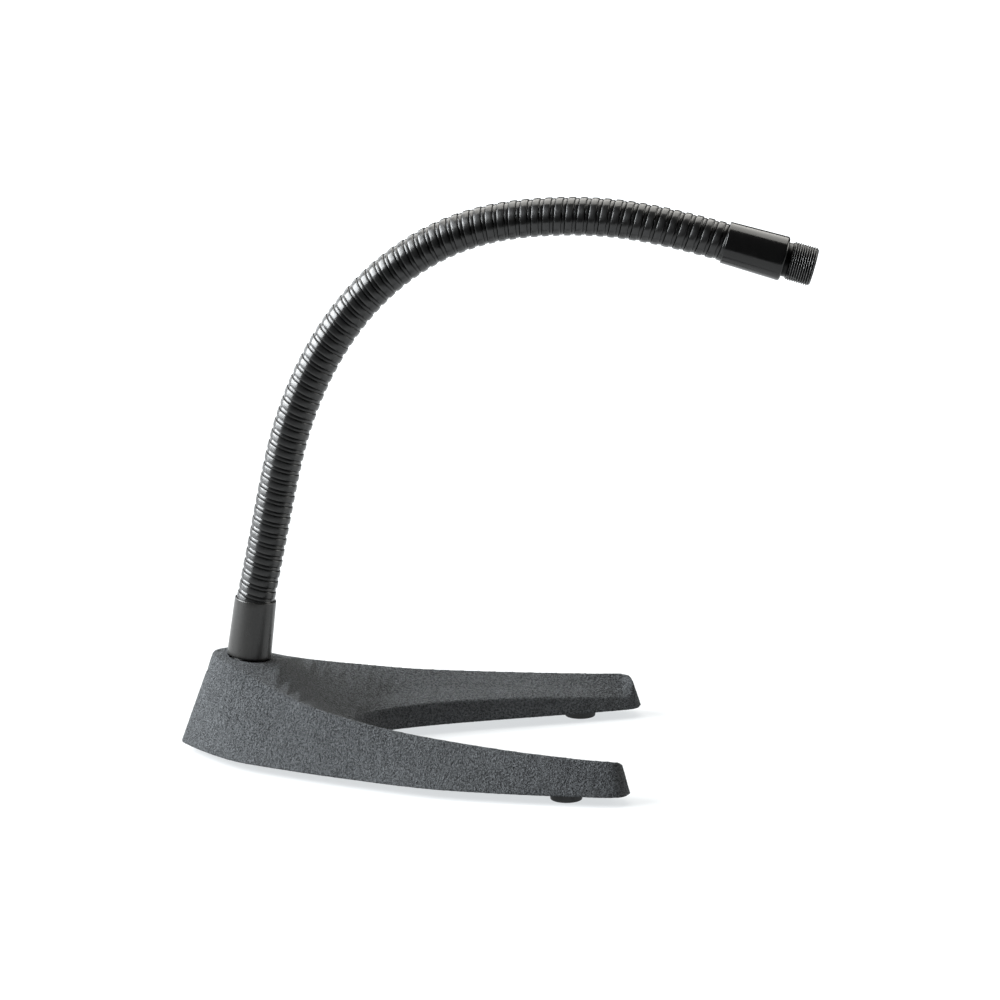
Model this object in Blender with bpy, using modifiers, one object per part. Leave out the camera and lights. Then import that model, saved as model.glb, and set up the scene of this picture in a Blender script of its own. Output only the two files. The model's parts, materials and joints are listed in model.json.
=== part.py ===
"""Desktop microphone stand: a cast V-shaped base and a flexible gooseneck with a threaded end.

The frame is metres with +Z up. The origin is on the desk, directly below the point where the neck
stands on the base. +X points forward, to the tips of the two legs, and XZ is the plane of symmetry.
The gooseneck is a chain of short wound sections. Each section's origin is on the joint below it.
"""

import math

import bmesh
import bpy
from mathutils import Vector

MM = 0.001

# Base casting
BASE_BOTTOM = 3.5 * MM
SEAT_HEIGHT = 39.8 * MM
SEAT_TILT = math.radians(7.0)
BASE_EDGE_ROUNDING = 0.6 * MM
STATIONS_PER_SPAN = 3

# Rubber feet
FOOT_RADIUS = 6.5 * MM
FOOT_ROUNDING = 0.5 * MM
FRONT_FOOT_X = 132.0 * MM
FRONT_FOOT_Y = 62.5 * MM

# Microphone thread, 5/8 inch with 27 threads to the inch
THREAD_RADIUS = 7.94 * MM
THREAD_PITCH = 25.4 / 27 * MM
THREAD_DEPTH = 0.61 * THREAD_PITCH
THREAD_TURNS = 11
THREAD_CHAMFER = 0.5 * MM
RELIEF_RADIUS = 6.9 * MM
RELIEF_LENGTH = 1.7 * MM
PLUG_LENGTH = 12.0 * MM

# Ferrules, one on each end of the gooseneck
FERRULE_LENGTH = 24.5 * MM
FERRULE_MOUTH_RADIUS = 8.48 * MM
LOWER_FERRULE_LENGTH = 24.1 * MM
LOWER_FERRULE_MOUTH_RADIUS = 8.45 * MM
FERRULE_OUTER_RADIUS = 9.0 * MM
FERRULE_ROUNDING = 1.4 * MM

# Gooseneck
NECK_RADIUS = 7.8 * MM
NECK_BORE_RADIUS = 3.9 * MM
NECK_LENGTH = 288.2 * MM
GROOVE_DEPTH = 0.6 * MM
GROOVE_SHARE = 0.33
TURNS_PER_SECTION = 3
JOINT_COUNT = 22
JOINT_GAP = 1.9 * MM
NECK_IN_FERRULE = 8.0 * MM
# Lean from the vertical at evenly spaced places along the neck, in degrees
NECK_LEAN = (12.5, 11.0, 12.8, 22.2, 33.4, 47.7, 64.3, 81.5, 90.7, 101.3, 105.4)
NECK_STEPS = 1160
END_LEAN = math.radians(NECK_LEAN[-1])

# Set screw that locks the lower stud
SET_SCREW_RADIUS = 1.5 * MM
SET_SCREW_LENGTH = 6.0 * MM
SET_SCREW_DROP = 7.0 * MM
SOCKET_RADIUS = 0.87 * MM
SOCKET_DEPTH = 2.0 * MM

CLEARANCE = 0.3 * MM
SIDES = 24
STUD_SIDES = 18
NECK_SIDES = 12

MATERIALS = {
    "cast_paint": ((0.045, 0.05, 0.055), 0.62, 0.0),
    "gloss_paint": ((0.012, 0.012, 0.013), 0.22, 0.0),
    "satin_paint": ((0.02, 0.019, 0.018), 0.38, 0.0),
    "black_steel": ((0.02, 0.02, 0.021), 0.35, 0.8),
    "rubber": ((0.015, 0.015, 0.015), 0.8, 0.0),
}


def clear_scene():
    for obj in list(bpy.data.objects):
        bpy.data.objects.remove(obj)


def make_collection(name):
    collection = bpy.data.collections.new(name)
    bpy.context.scene.collection.children.link(collection)
    return collection


def material(name):
    found = bpy.data.materials.get(name)
    if found:
        return found
    colour, roughness, metallic = MATERIALS[name]
    made = bpy.data.materials.new(name)
    made.use_nodes = True
    shader = made.node_tree.nodes["Principled BSDF"]
    shader.inputs["Base Color"].default_value = (*colour, 1.0)
    shader.inputs["Roughness"].default_value = roughness
    shader.inputs["Metallic"].default_value = metallic
    return made


def make_empty(name, collection, location, lean):
    empty = bpy.data.objects.new(name, None)
    collection.objects.link(empty)
    place(empty, None, location, lean)
    return empty


def place(obj, parent, location=(0, 0, 0), lean=0.0):
    obj.parent = parent
    obj.location = location
    obj.rotation_euler = (0, lean, 0)


def add_object(name, mesh, collection, material_name=None):
    obj = bpy.data.objects.new(name, mesh)
    collection.objects.link(obj)
    if material_name:
        mesh.materials.append(material(material_name))
    return obj


def turned(name, profile, collection, material_name=None, ring=False, sides=SIDES):
    """A solid turned about Z from (radius, height) points that run down its outer side."""
    mesh = bpy.data.meshes.new(name)
    edges = [(i, i + 1) for i in range(len(profile) - 1)]
    if ring:
        edges.append((len(profile) - 1, 0))
    mesh.from_pydata([(radius, 0, height) for radius, height in profile], edges, [])
    obj = add_object(name, mesh, collection, material_name)
    screw = obj.modifiers.new("turn", "SCREW")
    screw.steps = sides
    screw.render_steps = sides
    screw.use_merge_vertices = True
    screw.merge_threshold = 0.00001
    screw.use_smooth_shade = True
    return obj


def as_cutter(obj):
    obj.hide_render = True
    obj.display_type = "WIRE"
    return obj


def cut(obj, cutter):
    boolean = obj.modifiers.new("cut_" + cutter.name, "BOOLEAN")
    boolean.operation = "DIFFERENCE"
    boolean.solver = "EXACT"
    boolean.object = cutter


def cylinder_cutter(name, radius, bottom, top, collection, sides=SIDES):
    profile = [(0, top), (radius, top), (radius, bottom), (0, bottom)]
    return as_cutter(turned(name, profile, collection, sides=sides))


def box_cutter(name, size, centre, turn, collection):
    bpy.ops.mesh.primitive_cube_add(size=1, location=centre, rotation=(0, 0, turn))
    box = bpy.context.active_object
    box.name = name
    box.scale = size
    for old in list(box.users_collection):
        old.objects.unlink(box)
    collection.objects.link(box)
    return as_cutter(box)


def smooth_line(points, before=None, after=None, per_span=STATIONS_PER_SPAN):
    """Points on a Catmull-Rom curve through the given ones; before and after shape its ends."""
    points = [Vector(point) for point in points]
    before = Vector(before) if before else 2 * points[0] - points[1]
    after = Vector(after) if after else 2 * points[-1] - points[-2]
    padded = [before] + points + [after]
    line = []
    for span in range(len(points) - 1):
        p0, p1, p2, p3 = padded[span : span + 4]
        for step in range(per_span):
            t = step / per_span
            line.append(
                0.5
                * (
                    2 * p1
                    + (p2 - p0) * t
                    + (2 * p0 - 5 * p1 + 4 * p2 - p3) * t**2
                    + (3 * p1 - p0 - 3 * p2 + p3) * t**3
                )
            )
    line.append(points[-1])
    return line


def mirrored(point):
    return (point[0], -point[1], *point[2:])


# ---------------------------------------------------------------- base casting


def seat_plane(x):
    """Height in millimetres of the tilted seat at x millimetres in front of its centre."""
    return SEAT_HEIGHT / MM - x * math.tan(SEAT_TILT)


def base_edges():
    """The five long edges of the left half of the casting, from the rear nose round to the leg tip.

    Each has one point for every station, in millimetres. Stations 0 to 4 run past the seat, station 6
    is the crotch between the legs, and the last two turn round the tip.
    """
    bottom = BASE_BOTTOM / MM
    outer_bottom = [
        (-28.3, 0), (-24, 8), (-14, 20), (-2, 31), (16, 40.5), (32, 48), (50, 55.5),
        (66, 61.8), (84, 67.1), (112, 71.2), (134, 73), (149.5, 73.6), (155.2, 71.8), (157.6, 66.6),
    ]
    ridge = [
        (-14.7, 0, 41.6), (-12.8, 7, 41.3), (-6, 15.5, 40), (2.5, 21.3, 36.9), (13.5, 27.6, 33),
        (29, 36.8, 29), (46.3, 43.7, 25.8), (61, 48.2, 23.5), (79, 53.4, 21.5), (108, 60.5, 19.2),
        (132, 65.2, 17.9), (147.5, 67.7, 17.4), (152.2, 66.6, 16.9), (154, 63.4, 15.4),
    ]
    seat_side = [(-14.2, 0), (-11.5, 4), (-4, 11), (4, 12), (13.5, 5)]
    valley_side = [
        (13.5, 5, seat_plane(13.5)), (27, 16, 25.4), (44.5, 22, 16.8), (56, 34, 16.8), (77, 43, 16.4),
        (107.8, 52.4, 15), (132, 59, 13.6), (147.5, 63.4, 12.7), (152.2, 62.7, 12.5), (154.2, 62, 12.3),
    ]
    seat_middle = [(-13.7, 0), (-9, 0), (-2, 0), (6, 0), (13.5, 0)]
    valley_middle = [(13.5, 0, seat_plane(13.5)), (26, 0, 25), (42, 0, 12.5)]
    inner_top = [
        (42, 0, 12.5), (50.5, 19, 12.6), (75, 32.3, 13), (107.5, 44.3, 12), (132, 52.8, 10.2),
        (147, 58.6, 9), (152.4, 59.9, 9), (154.8, 61.2, 9.6),
    ]
    bottom_middle = [(-20, 0), (-14, 0), (-4, 0), (8, 0), (20, 0), (33, 0), (44.5, 0)]
    inner_bottom = [
        (44.5, 0), (52, 17.5), (75.5, 30.2), (107.9, 42.2), (132, 50.6), (148.5, 56.7),
        (154, 59.2), (156.8, 62),
    ]

    def on_bottom(points):
        return [(x, y, bottom) for x, y in points]

    def on_seat(points):
        return [(x, y, seat_plane(x)) for x, y in smooth_line(points)]

    outer = on_bottom(outer_bottom)
    inner = on_bottom(inner_bottom)
    edges = [
        smooth_line(outer, before=mirrored(outer[1])),
        smooth_line(ridge, before=mirrored(ridge[1])),
        on_seat(seat_side)[:-1] + smooth_line(valley_side),
        on_seat(seat_middle)[:-1] + smooth_line(valley_middle)[:-1]
        + smooth_line(inner_top, before=mirrored(inner_top[1])),
        smooth_line(on_bottom(bottom_middle))[:-1] + smooth_line(inner, before=mirrored(inner[1])),
    ]
    return [[Vector(point) * MM for point in edge] for edge in edges]


def base_half_mesh(name):
    """The left half of the casting, open at the plane of symmetry."""
    crotch_station = 6 * STATIONS_PER_SPAN
    edges = base_edges()
    shape = bmesh.new()
    rows = [[shape.verts.new(point) for point in edge] for edge in edges]
    stations = len(rows[0])
    for i in range(stations - 1):
        for row, next_row in zip(rows, rows[1:] + rows[:1]):
            inner_wall = row is rows[3]
            if inner_wall and i < crotch_station:
                continue
            shape.faces.new((row[i], row[i + 1], next_row[i + 1], next_row[i]))
    shape.faces.new([row[-1] for row in rows])
    bmesh.ops.recalc_face_normals(shape, faces=shape.faces)
    mesh = bpy.data.meshes.new(name)
    shape.to_mesh(mesh)
    shape.free()
    return mesh


def make_base(collection, cutters, seat):
    mesh = base_half_mesh("base_casting")
    mesh.shade_smooth()
    mesh.set_sharp_from_angle(angle=math.radians(35))
    base = add_object("base_casting", mesh, collection, "cast_paint")
    mirror = base.modifiers.new("mirror", "MIRROR")
    mirror.use_axis = (False, True, False)
    mirror.merge_threshold = 0.00001
    bevel = base.modifiers.new("rounded_edges", "BEVEL")
    bevel.width = BASE_EDGE_ROUNDING
    bevel.segments = 2
    bevel.limit_method = "ANGLE"
    bevel.angle_limit = math.radians(32)
    stud_depth = RELIEF_LENGTH + THREAD_TURNS * THREAD_PITCH + 1.2 * MM
    stud_hole = cylinder_cutter(
        "stud_hole", THREAD_RADIUS + CLEARANCE, -stud_depth, 5 * MM, cutters
    )
    place(stud_hole, seat)
    cut(base, stud_hole)
    screw_hole = cylinder_cutter("set_screw_hole", SET_SCREW_RADIUS + CLEARANCE, 0, 25 * MM, cutters, 16)
    place(screw_hole, seat, (-THREAD_RADIUS + 2 * MM, 0, -SET_SCREW_DROP), -math.pi / 2)
    cut(base, screw_hole)
    make_pockets(base, cutters)
    return base


def make_pockets(base, cutters):
    """Hollows in the underside that keep the casting's walls even."""
    depth = 14 * MM
    centre = box_cutter(
        "centre_pocket", (20 * MM, 34 * MM, depth), (24 * MM, 0, BASE_BOTTOM), 0, cutters
    )
    cut(base, centre)
    for side, sign in (("left", 1), ("right", -1)):
        leg = box_cutter(
            side + "_leg_pocket",
            (48 * MM, 11 * MM, depth * 0.75),
            (90 * MM, sign * 51 * MM, BASE_BOTTOM),
            sign * math.radians(17),
            cutters,
        )
        cut(base, leg)


# ---------------------------------------------------------------- feet and set screw


def make_foot(name, x, y, collection):
    top = BASE_BOTTOM - CLEARANCE
    profile = [
        (0, top),
        (FOOT_RADIUS, top),
        (FOOT_RADIUS, FOOT_ROUNDING),
        (FOOT_RADIUS - FOOT_ROUNDING, 0),
        (0, 0),
    ]
    foot = turned(name, profile, collection, "rubber")
    foot.location = (x, y, 0)
    return foot


def make_set_screw(collection, cutters, seat):
    chamfer = 0.4 * MM
    inner_end = THREAD_RADIUS + CLEARANCE
    profile = [
        (0, SET_SCREW_LENGTH),
        (SET_SCREW_RADIUS - chamfer, SET_SCREW_LENGTH),
        (SET_SCREW_RADIUS, SET_SCREW_LENGTH - chamfer),
        (SET_SCREW_RADIUS, chamfer),
        (SET_SCREW_RADIUS - 2 * chamfer, 0),
        (0, 0),
    ]
    screw = turned("neck_set_screw", profile, collection, "black_steel", sides=16)
    place(screw, seat, (-inner_end, 0, -SET_SCREW_DROP), -math.pi / 2)
    socket = cylinder_cutter(
        "set_screw_socket",
        SOCKET_RADIUS,
        SET_SCREW_LENGTH - SOCKET_DEPTH,
        SET_SCREW_LENGTH + SOCKET_DEPTH,
        cutters,
        6,
    )
    place(socket, screw)
    cut(screw, socket)
    return screw


# ---------------------------------------------------------------- ferrules and studs


def make_ferrule(
    name, collection, material_name, mount, length=FERRULE_LENGTH, mouth=FERRULE_MOUTH_RADIUS
):
    """A tapered sleeve. Its outer end, with the stud, is at the mount's origin and faces down."""
    bore = NECK_RADIUS + CLEARANCE
    rounding = [
        (
            FERRULE_OUTER_RADIUS - FERRULE_ROUNDING * (1 - math.cos(angle)),
            FERRULE_ROUNDING * (1 - math.sin(angle)),
        )
        for angle in (0, math.radians(30), math.radians(60), math.radians(85))
    ]
    outer = [
        (bore, length),
        (mouth - 0.2 * MM, length),
        (mouth, length - 0.3 * MM),
    ]
    profile = outer + rounding + [(bore, 0)]
    ferrule = turned(name, profile, collection, material_name, ring=True, sides=SIDES)
    place(ferrule, mount, (0, 0, CLEARANCE))
    return ferrule


def make_stud(name, collection, mount):
    """Plug inside the ferrule, relief groove and ring-cut thread, pointing down from the mount."""
    root = THREAD_RADIUS - THREAD_DEPTH
    end = -RELIEF_LENGTH - THREAD_TURNS * THREAD_PITCH
    profile = [
        (0, PLUG_LENGTH),
        (NECK_RADIUS, PLUG_LENGTH),
        (NECK_RADIUS, 1.0 * MM),
        (RELIEF_RADIUS, 0.6 * MM),
        (RELIEF_RADIUS, -RELIEF_LENGTH),
    ]
    for turn in range(THREAD_TURNS - 1):
        crest = -RELIEF_LENGTH - (turn + 0.5) * THREAD_PITCH
        profile.append((THREAD_RADIUS, crest))
        profile.append((root, crest - THREAD_PITCH / 2))
    profile.append((THREAD_RADIUS - THREAD_CHAMFER / 2, end + THREAD_CHAMFER))
    profile.append((root - THREAD_CHAMFER / 2, end))
    profile.append((0, end))
    stud = turned(name, profile, collection, "black_steel", sides=STUD_SIDES)
    place(stud, mount, (0, 0, CLEARANCE))
    return stud


# ---------------------------------------------------------------- gooseneck


def neck_course():
    """Points along the neck's centreline, with the lean at each, from the lower ferrule's mouth."""
    lean_points = [(lean, 0, 0) for lean in NECK_LEAN]
    spans = len(NECK_LEAN) - 1
    leans = [point.x for point in smooth_line(lean_points, per_span=NECK_STEPS // spans)]
    step = NECK_LENGTH / (len(leans) - 1)
    mouth = Vector((0, 0, SEAT_HEIGHT)) + (FERRULE_LENGTH + CLEARANCE) * direction(SEAT_TILT)
    course = [mouth]
    for first, second in zip(leans, leans[1:]):
        course.append(course[-1] + step * direction(math.radians((first + second) / 2)))
    return course


def direction(lean):
    return Vector((math.sin(lean), 0, math.cos(lean)))


def lean_of(vector):
    return math.atan2(vector.x, vector.z)


def joint_points(course):
    """The joints are evenly spaced, and the first and last are half a section from a ferrule."""
    last = len(course) - 1
    return [course[round((i + 0.5) / JOINT_COUNT * last)] for i in range(JOINT_COUNT)]


def section_profile(low, high):
    """Ribbed tube from low to high: each turn is a raised flat band, with a groove between turns."""
    pitch = (high - low + JOINT_GAP) / TURNS_PER_SECTION
    groove = GROOVE_SHARE * pitch
    profile = []
    for turn in range(TURNS_PER_SECTION):
        band_top = high - turn * pitch
        band_bottom = max(band_top - pitch + groove, low)
        profile += [(NECK_RADIUS, band_top), (NECK_RADIUS, band_bottom)]
        if turn < TURNS_PER_SECTION - 1:
            profile.append((NECK_RADIUS - GROOVE_DEPTH, band_bottom - groove / 2))
    return profile + [(NECK_BORE_RADIUS, low), (NECK_BORE_RADIUS, high)]


def make_section(number, start, lean, low, high, collection):
    """One wound section along a straight line from start, covering the stretch from low to high."""
    name = f"gooseneck_section_{number:02d}"
    section = turned(
        name, section_profile(low, high), collection, "gloss_paint", ring=True, sides=NECK_SIDES
    )
    place(section, None, start, lean)


def make_neck(collection):
    """Sections 00 to JOINT_COUNT; the first and last are held in the ferrules."""
    course = neck_course()
    joints = joint_points(course)
    half_gap = JOINT_GAP / 2
    first_length = (joints[0] - course[0]).dot(direction(SEAT_TILT))
    make_section(0, course[0], SEAT_TILT, -NECK_IN_FERRULE, first_length - half_gap, collection)
    for number in range(1, JOINT_COUNT):
        along = joints[number] - joints[number - 1]
        high = along.length - half_gap
        make_section(number, joints[number - 1], lean_of(along), half_gap, high, collection)
    last_length = (course[-1] - joints[-1]).dot(direction(END_LEAN))
    high = last_length + NECK_IN_FERRULE
    make_section(JOINT_COUNT, joints[-1], END_LEAN, half_gap, high, collection)


def main():
    clear_scene()
    parts = make_collection("desktop_mic_stand")
    cutters = make_collection("cutters")
    seat = make_empty("neck_seat", parts, (0, 0, SEAT_HEIGHT), SEAT_TILT)
    tip = neck_course()[-1] + (FERRULE_LENGTH + CLEARANCE) * direction(END_LEAN)
    head = make_empty("neck_head", parts, tip, END_LEAN + math.pi)
    make_base(parts, cutters, seat)
    make_foot("foot_rear", 0, 0, parts)
    make_foot("foot_front_left", FRONT_FOOT_X, FRONT_FOOT_Y, parts)
    make_foot("foot_front_right", FRONT_FOOT_X, -FRONT_FOOT_Y, parts)
    make_set_screw(parts, cutters, seat)
    make_stud("lower_stud", parts, seat)
    make_ferrule(
        "lower_ferrule", parts, "satin_paint", seat, LOWER_FERRULE_LENGTH, LOWER_FERRULE_MOUTH_RADIUS
    )
    make_neck(parts)
    make_ferrule("upper_ferrule", parts, "gloss_paint", head)
    make_stud("upper_stud", parts, head)


main()
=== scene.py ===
import json
import math

import bmesh
import bpy
import numpy as np
from mathutils import Matrix, Vector


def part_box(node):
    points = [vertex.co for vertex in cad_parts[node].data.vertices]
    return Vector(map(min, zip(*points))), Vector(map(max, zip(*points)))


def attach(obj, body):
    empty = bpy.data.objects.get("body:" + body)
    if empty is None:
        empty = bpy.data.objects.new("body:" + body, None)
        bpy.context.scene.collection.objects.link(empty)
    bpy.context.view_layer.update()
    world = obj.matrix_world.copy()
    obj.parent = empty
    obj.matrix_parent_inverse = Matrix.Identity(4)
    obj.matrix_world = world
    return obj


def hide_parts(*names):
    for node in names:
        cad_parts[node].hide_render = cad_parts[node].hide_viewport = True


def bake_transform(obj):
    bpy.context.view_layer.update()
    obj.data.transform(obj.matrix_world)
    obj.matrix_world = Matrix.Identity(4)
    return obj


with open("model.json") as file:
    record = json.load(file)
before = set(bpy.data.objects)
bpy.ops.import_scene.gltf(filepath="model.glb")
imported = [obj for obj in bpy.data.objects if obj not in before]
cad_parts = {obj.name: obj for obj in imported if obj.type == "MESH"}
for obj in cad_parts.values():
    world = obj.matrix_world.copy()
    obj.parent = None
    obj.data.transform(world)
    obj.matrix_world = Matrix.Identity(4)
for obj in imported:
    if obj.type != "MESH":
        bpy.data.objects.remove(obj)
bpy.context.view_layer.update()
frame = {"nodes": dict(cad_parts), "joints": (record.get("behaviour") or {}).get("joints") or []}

MM = 0.001

# Gooseneck: a round-wire spring with a wedge-shaped wire wound between its turns
TURNS = 63.8
FIRST_TURN_ANGLE = math.radians(-124)
STEPS_PER_TURN = 48
ROUND_WIRE_RADIUS = 1.45 * MM
ROUND_WIRE_BELOW_WEDGE = 0.38 * MM
ROUND_WIRE_TOWARDS_HEAD = 0.18 * MM
WEDGE_WIDTH = 2.75 * MM
WEDGE_DEPTH = 2.5 * MM
WEDGE_CORNER = 0.22 * MM
WEDGE_CROWN = 0.1 * MM
WIRE_IN_FERRULE = 7.5 * MM
WIRE_INSIDE_CAD = 0.05 * MM

# Turned pieces
SIDES = 96
PLUG_LENGTH = 12.0 * MM
RELIEF_LENGTH = 1.7 * MM
END_DISH_RADIUS = 5.9 * MM
MICROPHONE_PITCH = 25.4 / 27 * MM
SET_SCREW_PITCH = 0.5 * MM
SET_SCREW_SOCKET = 1.5 * MM
ROWS_PER_THREAD_TURN = 14

# Base casting
BASE_CELL = 0.55 * MM
WRINKLE_SIZE = 1.1 * MM
WRINKLE_DEPTH = 0.16 * MM

# Camera, aimed at the middle of the picture
CAMERA_DISTANCE = 2.0
CAMERA_AZIMUTH = math.radians(3.4)
CAMERA_ELEVATION = math.radians(12.82)
CAMERA_TARGET = Vector((0.1021, 0.0, 0.1062))
CAMERA_LENS = 179.1

LIGHT_TARGET = Vector((0.1, 0.0, 0.1))


# ---------------------------------------------------------------- measuring the frame


def node_points(node):
    """A CAD node's vertices, each once."""
    mesh = frame["nodes"][node].data
    points = np.zeros(len(mesh.vertices) * 3)
    mesh.vertices.foreach_get("co", points)
    return np.unique(points.reshape(-1, 3).round(6), axis=0)


class Turned:
    """The axis of a turned CAD node: its direction, the place of its far end, its length and radii."""

    def __init__(self, node, towards):
        points = node_points(node)
        centre = points.mean(0)
        spread, axes = np.linalg.eigh(np.cov((points - centre).T))
        alone = 0 if spread[1] - spread[0] > spread[2] - spread[1] else 2
        axis = axes[:, alone]
        if axis @ np.array(towards) < 0:
            axis = -axis
        along = (points - centre) @ axis
        self.axis = Vector(axis)
        self.start = Vector(centre + along.min() * axis)
        self.length = float(along.max() - along.min())
        self.radii = np.linalg.norm(points - centre - along[:, None] * axis, axis=1)
        self.along = along - along.min()
        self.radius = float(self.radii.max())

    def radius_near(self, height, reach=0.6 * MM):
        """Largest radius within reach of a height above the start."""
        return float(self.radii[abs(self.along - height) < reach].max())

    def matrix(self):
        """Puts a piece modelled about Z, from height 0, in the CAD node's place."""
        turn = self.axis.to_track_quat("Z", "Y").to_matrix().to_4x4()
        return Matrix.Translation(self.start) @ turn


# ---------------------------------------------------------------- mesh building


def skin(rings, joined=False):
    """Faces over a stack of equal rings of points. The ends are capped, or joined to each other."""
    count, sides = len(rings), len(rings[0])
    corner = np.arange(count * sides).reshape(count, sides)
    lower = corner if joined else corner[:-1]
    upper = np.roll(corner, -1, 0) if joined else corner[1:]
    quads = np.stack([lower, np.roll(lower, -1, 1), np.roll(upper, -1, 1), upper], axis=-1)
    faces = quads.reshape(-1, 4).tolist()
    if not joined:
        faces.append(corner[0][::-1].tolist())
        faces.append(corner[-1].tolist())
    return np.asarray(rings).reshape(-1, 3), faces


def make_piece(name, rings, finish, joined=False, sharp=40, matrix=None):
    points, faces = skin(rings, joined)
    mesh = bpy.data.meshes.new(name)
    mesh.from_pydata(points.tolist(), [], faces)
    if matrix:
        mesh.transform(matrix)
    mesh.shade_smooth()
    mesh.set_sharp_from_angle(angle=math.radians(sharp))
    piece = bpy.data.objects.new(name, mesh)
    bpy.context.scene.collection.objects.link(piece)
    piece.data.materials.append(MATERIALS[finish])
    return piece


def stand_in(name, rings, finish, body, *nodes, **options):
    """A rigid piece that rides on a body and is shown in place of CAD nodes."""
    piece = make_piece(name, rings, finish, **options)
    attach(piece, body)
    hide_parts(*nodes)
    return piece


def circle(sides=SIDES):
    angles = np.linspace(0, 2 * math.pi, sides, endpoint=False)
    return np.stack([np.cos(angles), np.sin(angles)], axis=1)


def turned_rings(profile, sides=SIDES):
    """Rings about Z through (radius, height) points that run up the outer side."""
    ring = circle(sides)
    return [np.column_stack([radius * ring, np.full(sides, height)]) for radius, height in profile]


def rounded(centre, radius, start, end, steps=6):
    """Profile points on an arc, angles in degrees from the outward direction."""
    angles = np.radians(np.linspace(start, end, steps))
    return [(centre[0] + radius * math.cos(a), centre[1] + radius * math.sin(a)) for a in angles]


def threaded_rings(low, high, radius, pitch, chamfer, sides=SIDES):
    """Rings of a right-hand V thread from low to high, cut down to a chamfer at both ends."""
    depth = 0.61 * pitch
    rows = max(2, round((high - low) / pitch * ROWS_PER_THREAD_TURN))
    share = np.linspace(0, 1, sides, endpoint=False)
    ring = circle(sides)
    rings = []
    for height in np.linspace(low, high, rows + 1):
        phase = (height / pitch - share) % 1
        wave = np.clip(1.25 * (1 - abs(2 * phase - 1)) - 0.125, 0, 1)
        thread = radius - depth + depth * wave
        from_end = min(height - low, high - height)
        cone = radius - max(0.0, chamfer - from_end)
        thread = np.minimum(thread, cone)
        rings.append(np.column_stack([thread[:, None] * ring, np.full(sides, height)]))
    return rings


# ---------------------------------------------------------------- materials


def add_node(tree, kind, inputs=None, **settings):
    """A shader node. inputs maps its inputs to values or to other nodes' outputs."""
    made = tree.nodes.new("ShaderNode" + kind)
    for key, value in settings.items():
        setattr(made, key, value)
    for key, value in (inputs or {}).items():
        if isinstance(value, bpy.types.NodeSocket):
            tree.links.new(value, made.inputs[key])
        else:
            made.inputs[key].default_value = value
    return made


def grey(value):
    return (value, value, value, 1.0)


def ramp(tree, factor, stops):
    """A colour ramp of (position, grey or colour) stops."""
    made = add_node(tree, "ValToRGB", {"Fac": factor})
    elements = made.color_ramp.elements
    while len(elements) < len(stops):
        elements.new(1.0)
    for element, (position, colour) in zip(elements, stops):
        element.position = position
        element.color = colour if isinstance(colour, tuple) else grey(colour)
    return made.outputs["Color"]


def new_material(name):
    made = bpy.data.materials.new(name)
    made.use_nodes = True
    tree = made.node_tree
    shader = tree.nodes["Principled BSDF"]
    place = add_node(tree, "TexCoord").outputs["Object"]
    return made, tree, shader, place


def noise(tree, place, size, detail=2.0, roughness=0.5, distortion=0.0, stretch=None):
    """Noise whose features are size metres across, stretched along an axis if asked."""
    if stretch:
        place = add_node(tree, "Mapping", {"Vector": place, "Scale": stretch}).outputs["Vector"]
    inputs = {
        "Vector": place,
        "Scale": 1 / size,
        "Detail": detail,
        "Roughness": roughness,
        "Distortion": distortion,
    }
    return add_node(tree, "TexNoise", inputs).outputs["Fac"]


def bump(tree, height, distance, strength=1.0, normal=None):
    inputs = {"Height": height, "Distance": distance, "Strength": strength}
    if normal:
        inputs["Normal"] = normal
    return add_node(tree, "Bump", inputs).outputs["Normal"]


def link_to(shader, tree, **inputs):
    for key, value in inputs.items():
        socket = shader.inputs[key.replace("_", " ")]
        if isinstance(value, bpy.types.NodeSocket):
            tree.links.new(value, socket)
        else:
            socket.default_value = value


def cast_paint():
    """Charcoal textured powder coat: coarse grains that catch raking light, and a faint mottle."""
    made, tree, shader, place = new_material("cast_paint")
    grain = noise(tree, place, 0.8 * MM, detail=2.0, roughness=0.6)
    fine = noise(tree, place, 0.4 * MM, detail=1.0)
    mottle = noise(tree, place, 9 * MM, detail=2.0)
    grains = {"Factor": 0.3, "A": grain, "B": fine}
    speck = add_node(tree, "Mix", grains, data_type="FLOAT").outputs[0]
    colour = ramp(tree, speck, [(0.38, (0.027, 0.029, 0.031, 1)), (0.6, (0.092, 0.097, 0.102, 1))])
    shade = ramp(tree, mottle, [(0.3, 0.9), (0.7, 1.0)])
    layers = {"Factor": 1.0, 6: colour, 7: shade}
    mixed = add_node(tree, "Mix", layers, data_type="RGBA", blend_type="MULTIPLY")
    relief = bump(tree, grain, 1.3 * MM)
    relief = bump(tree, fine, 0.3 * MM, normal=relief)
    link_to(
        shader, tree, Base_Color=mixed.outputs[2], Roughness=0.8, Specular_IOR_Level=0.15, Normal=relief
    )
    return made


def gloss_wire():
    """Black gloss lacquer on drawn wire: the drawing lines spread its highlights across the wire."""
    made, tree, shader, place = new_material("gloss_wire")
    wire = add_node(tree, "UVMap", uv_map="wire").outputs["UV"]
    along = add_node(tree, "Tangent", direction_type="UV_MAP", uv_map="wire").outputs["Tangent"]
    lines = noise(tree, wire, 0.8 * MM, detail=3.0, stretch=(0.12, 3.2, 1.0))
    peel = noise(tree, place, 1.2 * MM, detail=1.0)
    relief = bump(tree, lines, 0.03 * MM)
    relief = bump(tree, peel, 0.015 * MM, normal=relief)
    roughness = ramp(tree, noise(tree, place, 3 * MM, detail=4.0), [(0.35, 0.28), (0.7, 0.36)])
    link_to(
        shader, tree, Base_Color=grey(0.006), Roughness=roughness, Normal=relief,
        Anisotropic=0.85, Anisotropic_Rotation=0.25, Tangent=along,
    )
    return made


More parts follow.
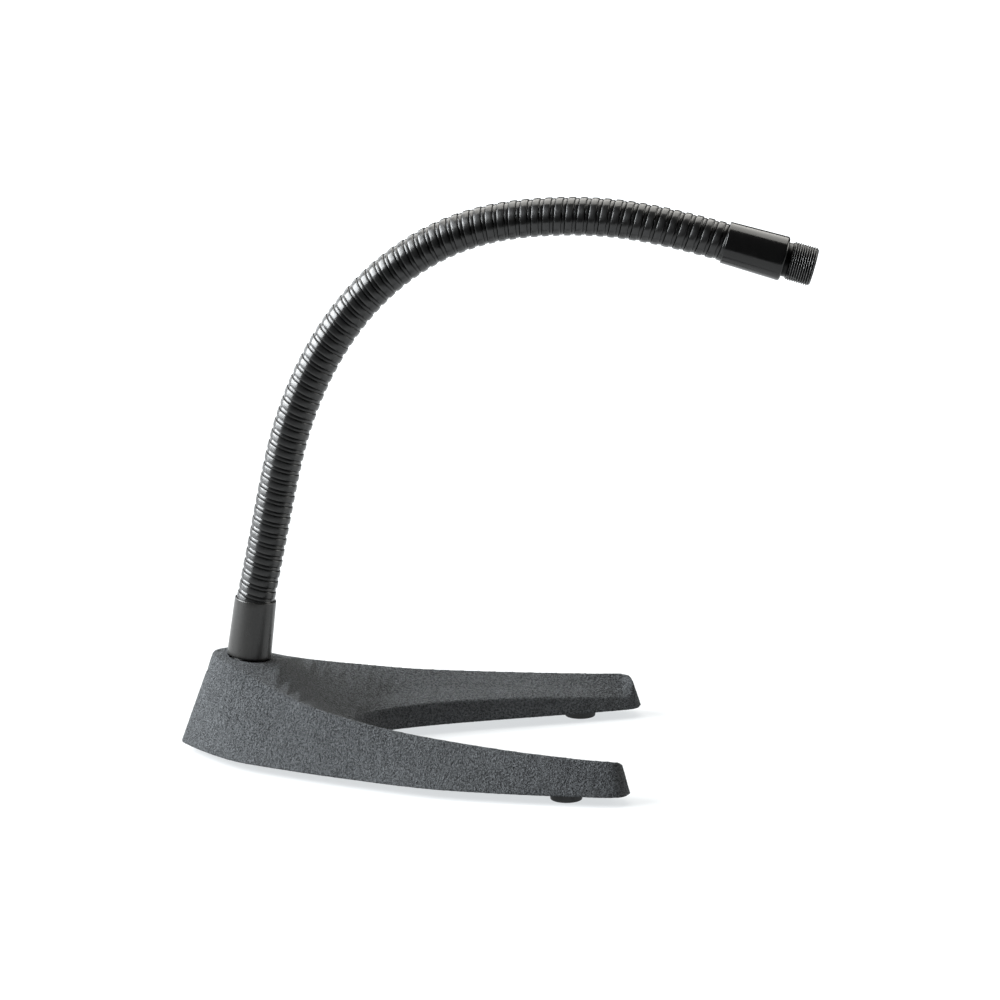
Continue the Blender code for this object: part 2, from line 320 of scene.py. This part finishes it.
def gloss_paint():
    """The same lacquer on a turned sleeve."""
    made, tree, shader, place = new_material("gloss_paint")
    peel = noise(tree, place, 1.4 * MM, detail=1.5)
    relief = bump(tree, peel, 0.012 * MM)
    roughness = ramp(tree, noise(tree, place, 4 * MM, detail=5.0), [(0.35, 0.14), (0.75, 0.24)])
    link_to(
        shader, tree, Base_Color=grey(0.005), Roughness=roughness, Normal=relief,
        Specular_IOR_Level=0.36,
    )
    return made


def satin_paint():
    """Warm black satin lacquer on a turned sleeve, with fine streaks along it."""
    made, tree, shader, place = new_material("satin_paint")
    streak = noise(tree, place, 0.7 * MM, detail=3.0, stretch=(1.0, 1.0, 0.12))
    peel = noise(tree, place, 1.2 * MM, detail=2.0)
    relief = bump(tree, streak, 0.003 * MM)
    relief = bump(tree, peel, 0.012 * MM, normal=relief)
    colour = ramp(tree, peel, [(0.35, (0.01, 0.0098, 0.0092, 1)), (0.7, (0.014, 0.0135, 0.0125, 1))])
    roughness = ramp(tree, streak, [(0.3, 0.27), (0.7, 0.33)])
    link_to(shader, tree, Base_Color=colour, Roughness=roughness, Normal=relief)
    return made


def black_steel():
    """Black-finished steel thread whose crests are painted lighter as a highlight, broken up by a little
    noisy wear.
    """
    made, tree, shader, place = new_material("black_steel")
    edge = add_node(tree, "NewGeometry").outputs["Pointiness"]
    wear = noise(tree, place, 1.0 * MM, detail=4.0, roughness=0.6)
    wear_and_crest_highlight = add_node(tree, "Math", {0: wear, 1: 0.12, 2: edge}, operation="MULTIPLY_ADD").outputs["Value"]
    # Painted highlight: pointiness lifts the colour on every thread crest, with a little noise wear mixed
    # in; the roots keep the near-black base colour.
    colour = ramp(tree, wear_and_crest_highlight, [(0.57, 0.008), (0.66, 0.3)])
    relief = bump(tree, wear, 0.01 * MM)
    link_to(shader, tree, Base_Color=colour, Metallic=0.7, Roughness=0.36, Normal=relief)
    return made


def rubber():
    """Matt black rubber with moulding grain and a little dust."""
    made, tree, shader, place = new_material("rubber")
    grain = noise(tree, place, 0.25 * MM, detail=2.0)
    dust = noise(tree, place, 2.5 * MM, detail=4.0)
    colour = ramp(tree, dust, [(0.4, 0.012), (0.75, 0.03)])
    relief = bump(tree, grain, 0.03 * MM)
    link_to(shader, tree, Base_Color=colour, Roughness=0.62, Normal=relief)
    return made


MATERIALS = {
    make.__name__: make()
    for make in (cast_paint, gloss_wire, gloss_paint, satin_paint, black_steel, rubber)
}


# ---------------------------------------------------------------- base casting


def evaluated_copy(source, name):
    graph = bpy.context.evaluated_depsgraph_get()
    mesh = bpy.data.meshes.new_from_object(source.evaluated_get(graph))
    mesh.name = name
    bpy.data.objects.remove(source)
    piece = bpy.data.objects.new(name, mesh)
    bpy.context.scene.collection.objects.link(piece)
    return piece


def welded_copy(node):
    mesh = frame["nodes"][node].data.copy()
    work = bmesh.new()
    work.from_mesh(mesh)
    bmesh.ops.remove_doubles(work, verts=work.verts, dist=1e-6)
    work.to_mesh(mesh)
    work.free()
    copy = bpy.data.objects.new(node + "_copy", mesh)
    bpy.context.scene.collection.objects.link(copy)
    return copy


def wrinkle_texture(name, size, kind):
    texture = bpy.data.textures.new(name, kind)
    texture.noise_scale = size
    return texture


def make_base():
    """The casting in fine even cells, its coat's wrinkles pressed inwards from the CAD surface."""
    low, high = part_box("base_casting")
    copy = welded_copy("base_casting")
    remesh = copy.modifiers.new("cells", "REMESH")
    remesh.mode = "VOXEL"
    remesh.voxel_size = BASE_CELL
    remesh.use_smooth_shade = True
    even = copy.modifiers.new("even", "SMOOTH")
    even.factor = 0.5
    even.iterations = 2
    wrinkle = copy.modifiers.new("wrinkle", "DISPLACE")
    wrinkle.texture = wrinkle_texture("wrinkle", WRINKLE_SIZE, "CLOUDS")
    wrinkle.strength = WRINKLE_DEPTH
    wrinkle.mid_level = 1.0
    base = evaluated_copy(copy, "textured_base")
    points = np.zeros(len(base.data.vertices) * 3)
    base.data.vertices.foreach_get("co", points)
    points = np.clip(points.reshape(-1, 3), np.array(low), np.array(high))
    base.data.vertices.foreach_set("co", points.ravel())
    base.data.materials.clear()
    base.data.materials.append(MATERIALS["cast_paint"])
    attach(base, "base")
    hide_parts("base_casting")


def make_foot(node):
    """A moulded bumper: drafted side, rounded rim and a shallow dish underneath."""
    low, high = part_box(node)
    radius = (high.x - low.x) / 2
    height = high.z - low.z
    rim = 0.5 * MM
    dish = 0.35 * MM
    profile = [(0.3 * MM, dish), (radius * 0.55, dish), (radius * 0.7, 0.05 * MM)]
    profile += rounded((radius - 0.15 * MM - rim, rim), rim, -90, -4)
    profile += rounded((radius - 0.2 * MM, height - 0.2 * MM), 0.2 * MM, 0, 90, 4)
    centre = Matrix.Translation(((low.x + high.x) / 2, (low.y + high.y) / 2, low.z))
    stand_in("rubber_" + node, turned_rings(profile), "rubber", "base", node, matrix=centre)


def make_set_screw():
    """Socket set screw: threaded sides, chamfered ends and a hexagonal socket in the outer end."""
    shape = Turned("neck_set_screw", (-1, 0, 0))
    sides = 48
    rings = threaded_rings(0, shape.length, shape.radius, SET_SCREW_PITCH, 0.4 * MM, sides)
    ring = circle(sides)
    angles = np.arctan2(ring[:, 1], ring[:, 0])
    hexagon = SET_SCREW_SOCKET / 2 / np.cos((angles + math.pi / 6) % (math.pi / 3) - math.pi / 6)
    depth = 1.3 * SET_SCREW_SOCKET
    for drop, inset in ((0, -0.05 * MM), (0.1 * MM, 0), (depth, 0), (depth + 0.1 * MM, 0.05 * MM)):
        across = hexagon - inset
        height = np.full(sides, shape.length - drop)
        rings.append(np.column_stack([across[:, None] * ring, height]))
    stand_in(
        "socket_set_screw", rings, "black_steel", "base", "neck_set_screw", matrix=shape.matrix()
    )


# ---------------------------------------------------------------- ferrules and studs


def make_ferrule(node, body, outer_towards, finish):
    """A tapered sleeve with a rounded outer end and a thin rolled lip where the wires go in."""
    shape = Turned(node, outer_towards)
    length = shape.length
    mouth = shape.radius_near(0.5 * MM)
    outer = shape.radius_near(length - 1.6 * MM)
    bore = float(shape.radii.min())
    lip = (mouth - bore) / 2
    turn = 1.0 * MM
    profile = rounded((mouth - lip, lip), lip, -88, 0)
    taper = np.linspace(0, 1, 12)[1:-1]
    profile += [(mouth + (outer - mouth) * t, lip + (length - turn - lip) * t) for t in taper]
    profile += rounded((outer - turn, length - turn), turn, 0, 86, 9)
    profile += [(bore + 0.1 * MM, length - 0.02 * MM), (bore, length - 0.15 * MM)]
    profile += [(bore, length / 2), (bore, 2 * lip)]
    profile += rounded((bore + lip - 0.02 * MM, lip), lip - 0.02 * MM, 180, 264, 4)
    rings = turned_rings(profile)
    options = {"joined": True, "matrix": shape.matrix()}
    stand_in(node + "_sleeve", rings, finish, body, node, **options)


def make_stud(node, body, outer_towards):
    """End fitting: a plug inside the sleeve, a relief groove and a right-hand helical thread."""
    shape = Turned(node, outer_towards)
    length = shape.length
    plug_radius = shape.radius_near(0)
    relief_end = PLUG_LENGTH + RELIEF_LENGTH
    relief_radius = shape.radius_near(PLUG_LENGTH + RELIEF_LENGTH / 2, reach=0.6 * RELIEF_LENGTH)
    profile = [
        (plug_radius - 0.4 * MM, 0),
        (plug_radius, 0.4 * MM),
        (plug_radius, PLUG_LENGTH - 1.0 * MM),
        (relief_radius, PLUG_LENGTH - 0.6 * MM),
        (relief_radius, relief_end - 0.15 * MM),
    ]
    rings = turned_rings(profile)
    rings += threaded_rings(relief_end, length, shape.radius, MICROPHONE_PITCH, 0.9 * MM)
    rings += turned_rings([(END_DISH_RADIUS, length), (END_DISH_RADIUS - 0.2 * MM, length - 0.1 * MM)])
    stand_in(
        node + "_threaded", rings, "black_steel", body, node, matrix=shape.matrix(), sharp=50
    )


# ---------------------------------------------------------------- gooseneck wires


class Course:
    """The neck's centreline: a curve between the ferrules that bends smoothly at every joint.

    It touches the middle of each CAD section, and runs straight on inside both ferrules.
    """

    def __init__(self, lower_mouth, lower_axis, upper_mouth, upper_axis):
        joints = np.array([joint["pos_m"] for joint in frame["joints"]])
        middles = (joints[1:] + joints[:-1]) / 2
        self.knots = np.vstack([lower_mouth, middles, upper_mouth])
        self.joints = joints
        legs = np.linalg.norm(np.vstack([joints - self.knots[:-1], self.knots[1:] - joints]), axis=1)
        lengths = legs[: len(joints)] + legs[len(joints) :]
        self.at = np.concatenate([[0], np.cumsum(lengths)])
        self.ends = np.array([lower_axis, upper_axis])
        self.length = self.at[-1]

    def __call__(self, s):
        """Point on the centreline at s, running straight on past both ends."""
        inside = np.clip(s, 0, self.length)
        i = np.clip(np.searchsorted(self.at, inside, side="right") - 1, 0, len(self.joints) - 1)
        t = ((inside - self.at[i]) / (self.at[i + 1] - self.at[i]))[:, None]
        found = (1 - t) ** 2 * self.knots[i] + 2 * t * (1 - t) * self.joints[i]
        found += t**2 * self.knots[i + 1]
        found += np.minimum(s, 0)[:, None] * self.ends[0]
        found += np.maximum(s - self.length, 0)[:, None] * self.ends[1]
        return found


def unit(vectors):
    return vectors / np.linalg.norm(vectors, axis=1)[:, None]


def wire_rings(course, turn, pitch, phase, radius, profile):
    """Rings of a wire wound left-handed about the course, for turn counts in the array turn."""
    sideways = np.array([0.0, 1.0, 0.0])

    def path(t):
        s = t * pitch
        centre = course(s)
        tangent = unit(course(s + 0.1 * MM) - course(s - 0.1 * MM))
        forward = np.cross(sideways, tangent)
        angle = phase - 2 * math.pi * t
        radial = np.cos(angle)[:, None] * forward + np.sin(angle)[:, None] * sideways
        return centre + radius * radial, radial

    place, radial = path(turn)
    step = 0.002
    ahead = unit(path(turn + step)[0] - path(turn - step)[0])
    outward = unit(radial - (radial * ahead).sum(1)[:, None] * ahead)
    across = np.cross(ahead, outward)
    u, v = profile[:, 0], profile[:, 1]
    return place[:, None] + u[None, :, None] * outward[:, None] + v[None, :, None] * across[:, None]


def round_profile(steps=14):
    return ROUND_WIRE_RADIUS * circle(steps)


def wedge_profile():
    """Triangular wire with a nearly flat back outwards, all corners rounded."""
    half = WEDGE_WIDTH / 2
    corner = WEDGE_CORNER
    back = [(WEDGE_CROWN * (1 - (v / half) ** 2), v) for v in np.linspace(-half + corner, half - corner, 5)]
    flank = math.degrees(math.atan2(half, WEDGE_DEPTH))
    upper = rounded((-corner, half - corner), corner, 0, 90 + flank * 0.9, 4)[1:]
    swing = (90 - flank) * 0.9
    apex = rounded((-WEDGE_DEPTH + corner, 0), corner, 180 - swing, 180 + swing, 3)
    lower = [(u, -v) for u, v in reversed(upper)]
    return np.array(back + upper + apex + lower)


def make_wires():
    """Both wires, a piece for each joint, from the middle of one section to the middle of the next."""
    lower = Turned("lower_ferrule", (0, 0, 1))
    upper = Turned("upper_ferrule", (1, 0, 0))
    lower_mouth = lower.start + lower.length * lower.axis
    course = Course(lower_mouth, lower.axis, upper.start, upper.axis)
    joints = frame["joints"]
    outside = Turned("gooseneck_section_00", (0, 0, 1)).radius - WIRE_INSIDE_CAD
    pitch = course.length / TURNS
    half_turn = math.pi - 2 * math.pi * ROUND_WIRE_TOWARDS_HEAD / pitch
    spring_radius = outside - ROUND_WIRE_BELOW_WEDGE - ROUND_WIRE_RADIUS
    wires = (
        ("wedge_wire", FIRST_TURN_ANGLE, outside - WEDGE_CROWN, wedge_profile()),
        ("spring_wire", FIRST_TURN_ANGLE + half_turn, spring_radius, round_profile()),
    )
    sections = sorted(node for node in frame["nodes"] if node.startswith("gooseneck_section"))
    last = len(joints) - 1
    for number, joint in enumerate(joints):
        start = course.at[number] - (WIRE_IN_FERRULE if number == 0 else 0)
        end = course.at[number + 1] + (WIRE_IN_FERRULE if number == last else 0)
        steps = round((end - start) / pitch * STEPS_PER_TURN)
        turn = np.linspace(start, end, steps + 1) / pitch
        for name, phase, radius, profile in wires:
            rings = wire_rings(course, turn, pitch, phase, radius, profile)
            piece = make_piece(f"{name}_{number:02d}", rings, "gloss_wire", sharp=60)
            add_wire_map(piece, turn * 2 * math.pi * radius, profile)
            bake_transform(piece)
            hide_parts(sections[number], sections[number + 1])


def add_wire_map(piece, along, profile):
    """A UV map in metres: along the wire, and round its section."""
    around = np.concatenate([[0], np.cumsum(np.linalg.norm(np.diff(profile, axis=0), axis=1))])
    sides = len(profile)
    layer = piece.data.uv_layers.new(name="wire")
    corners = np.zeros(len(piece.data.loops), int)
    piece.data.loops.foreach_get("vertex_index", corners)
    places = np.column_stack([along[corners // sides], around[corners % sides]])
    layer.data.foreach_set("uv", places.ravel())


# ---------------------------------------------------------------- floor, lights and camera


def make_floor():
    """A white table top, lit evenly by its own glow, whose front edge lies a little before the object."""
    bpy.ops.mesh.primitive_plane_add(size=1, location=(0, 1.55, 0))
    floor = bpy.context.active_object
    floor.name = "floor"
    floor.scale = (8, 4, 1)
    made, tree, shader, place = new_material("table_top")
    world_place = add_node(tree, "NewGeometry").outputs["Position"]
    away = add_node(tree, "VectorMath", {0: world_place}, operation="LENGTH").outputs["Value"]
    reach = {"Value": away, "From Min": 0.25, "From Max": 1.2, "To Min": 0.7, "To Max": 1.2}
    glow = add_node(tree, "MapRange", reach).outputs["Result"]
    link_to(
        shader, tree, Base_Color=grey(0.16), Roughness=0.9, Specular_IOR_Level=0.1,
        Emission_Color=(0.95, 0.98, 1.0, 1.0), Emission_Strength=glow,
    )
    floor.data.materials.append(made)


def add_light(name, azimuth, elevation, distance, width, height, power, colour):
    """A soft box aimed at the object. Azimuth 0 is at the camera's side, 90 at +X."""
    data = bpy.data.lights.new(name, "AREA")
    data.shape = "RECTANGLE"
    data.size = width
    data.size_y = height
    data.energy = power
    data.color = colour
    light = bpy.data.objects.new(name, data)
    bpy.context.scene.collection.objects.link(light)
    a = math.radians(azimuth)
    e = math.radians(elevation)
    away = Vector((math.sin(a) * math.cos(e), -math.cos(a) * math.cos(e), math.sin(e)))
    light.location = LIGHT_TARGET + distance * away
    light.rotation_euler = away.to_track_quat("Z", "Y").to_euler()
    return light


def make_lights():
    """Soft boxes in a dark room. Only the camera sees the room's far walls as white."""
    cool = (0.95, 0.98, 1.0)
    warm = (1.0, 0.985, 0.94)
    add_light("left_box", -86, 28, 1.4, 1.3, 0.85, 100, cool)
    add_light("back_left_box", -138, 18, 1.4, 1.1, 0.85, 9, cool)
    add_light("right_box", 105, 25, 1.4, 0.8, 0.7, 11, warm)
    add_light("overhead_box", 180, 61, 1.3, 1.3, 1.32, 27, warm)
    world = bpy.data.worlds.new("studio")
    bpy.context.scene.world = world
    world.use_nodes = True
    tree = world.node_tree
    seen = add_node(tree, "LightPath").outputs["Is Camera Ray"]
    backdrop = ramp(tree, seen, [(0.0, 0.01), (1.0, 1.0)])
    tree.links.new(backdrop, tree.nodes["Background"].inputs["Color"])


def make_camera():
    data = bpy.data.cameras.new("camera")
    data.lens = CAMERA_LENS
    data.clip_start = 0.05
    camera = bpy.data.objects.new("camera", data)
    bpy.context.scene.collection.objects.link(camera)
    sight = Vector((
        -math.sin(CAMERA_AZIMUTH) * math.cos(CAMERA_ELEVATION),
        math.cos(CAMERA_AZIMUTH) * math.cos(CAMERA_ELEVATION),
        -math.sin(CAMERA_ELEVATION),
    ))
    camera.location = CAMERA_TARGET - CAMERA_DISTANCE * sight
    camera.rotation_euler = sight.to_track_quat("-Z", "Y").to_euler()
    bpy.context.scene.camera = camera
    bpy.context.scene.view_settings.view_transform = "Standard"


make_base()
for foot in ("foot_rear", "foot_front_left", "foot_front_right"):
    make_foot(foot)
make_set_screw()
make_ferrule("lower_ferrule", "base", (0, 0, -1), "satin_paint")
make_ferrule("upper_ferrule", "head", (1, 0, 0), "gloss_paint")
make_stud("lower_stud", "base", (0, 0, -1))
make_stud("upper_stud", "head", (1, 0, 0))
make_wires()
make_floor()
make_lights()
make_camera()
